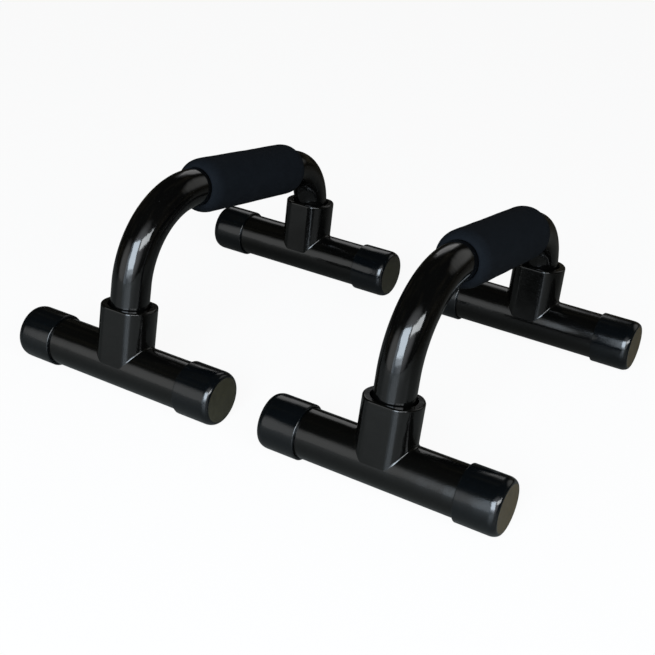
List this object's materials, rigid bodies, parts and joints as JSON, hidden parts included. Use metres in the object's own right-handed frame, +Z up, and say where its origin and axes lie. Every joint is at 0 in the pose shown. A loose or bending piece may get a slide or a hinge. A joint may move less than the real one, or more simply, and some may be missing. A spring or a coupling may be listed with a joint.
{
  "type": "parallette bars",
  "caption": "Low floor bars for push-ups: a sloping tube handle with a foam grip bends down into the flat-sided sockets of round tee feet, whose runs carry push-on end caps.",
  "frame": {"origin": "on the floor, midway between the four feet of the pair", "axes": "+Z up from the floor; +X along the handles, towards their low ends; +Y from the right bar to the left one"},
  "size_m": [0.2545, 0.344, 0.1306],
  "materials": {
    "gloss_tube": "gloss",
    "foam": "matte",
    "moulding": "satin",
    "cap": "satin"
  },
  "bodies": {
    "left_high_foot": {"left_high_tee": "moulding", "left_high_left_cap": "cap", "left_high_right_cap": "cap"},
    "left_low_foot": {"left_low_tee": "moulding", "left_low_left_cap": "cap", "left_low_right_cap": "cap"},
    "left_handle": {"left_handle_tube": "gloss_tube", "left_foam_grip": "foam"},
    "right_high_foot": {"right_high_tee": "moulding", "right_high_left_cap": "cap", "right_high_right_cap": "cap"},
    "right_low_foot": {"right_low_tee": "moulding", "right_low_left_cap": "cap", "right_low_right_cap": "cap"},
    "right_handle": {"right_handle_tube": "gloss_tube", "right_foam_grip": "foam"}
  },
  "joints": [
    {"name": "left_handle_pull", "type": "slide", "parent": "left_high_foot", "child": "left_handle", "axis": [0.1788, 0, 0.9839], "range_m": [0, 0.026]},
    {"name": "left_low_foot_pull", "type": "slide", "parent": "left_handle", "child": "left_low_foot", "axis": [-0.1253, 0, -0.9921], "range_m": [0, 0.026]},
    {"name": "right_handle_pull", "type": "slide", "parent": "right_high_foot", "child": "right_handle", "axis": [0.1788, 0, 0.9839], "range_m": [0, 0.026]},
    {"name": "right_low_foot_pull", "type": "slide", "parent": "right_handle", "child": "right_low_foot", "axis": [-0.1253, 0, -0.9921], "range_m": [0, 0.026]},
    {"name": "bar_spread", "type": "slide", "parent": "left_high_foot", "child": "right_high_foot", "axis": [0, -1, 0], "range_m": [0, 0.4]}
  ],
  "couplings": [
    {"joint": "left_low_foot_pull", "follows": "left_handle_pull", "ratio": 0.9917},
    {"joint": "right_low_foot_pull", "follows": "right_handle_pull", "ratio": 0.9917}
  ]
}
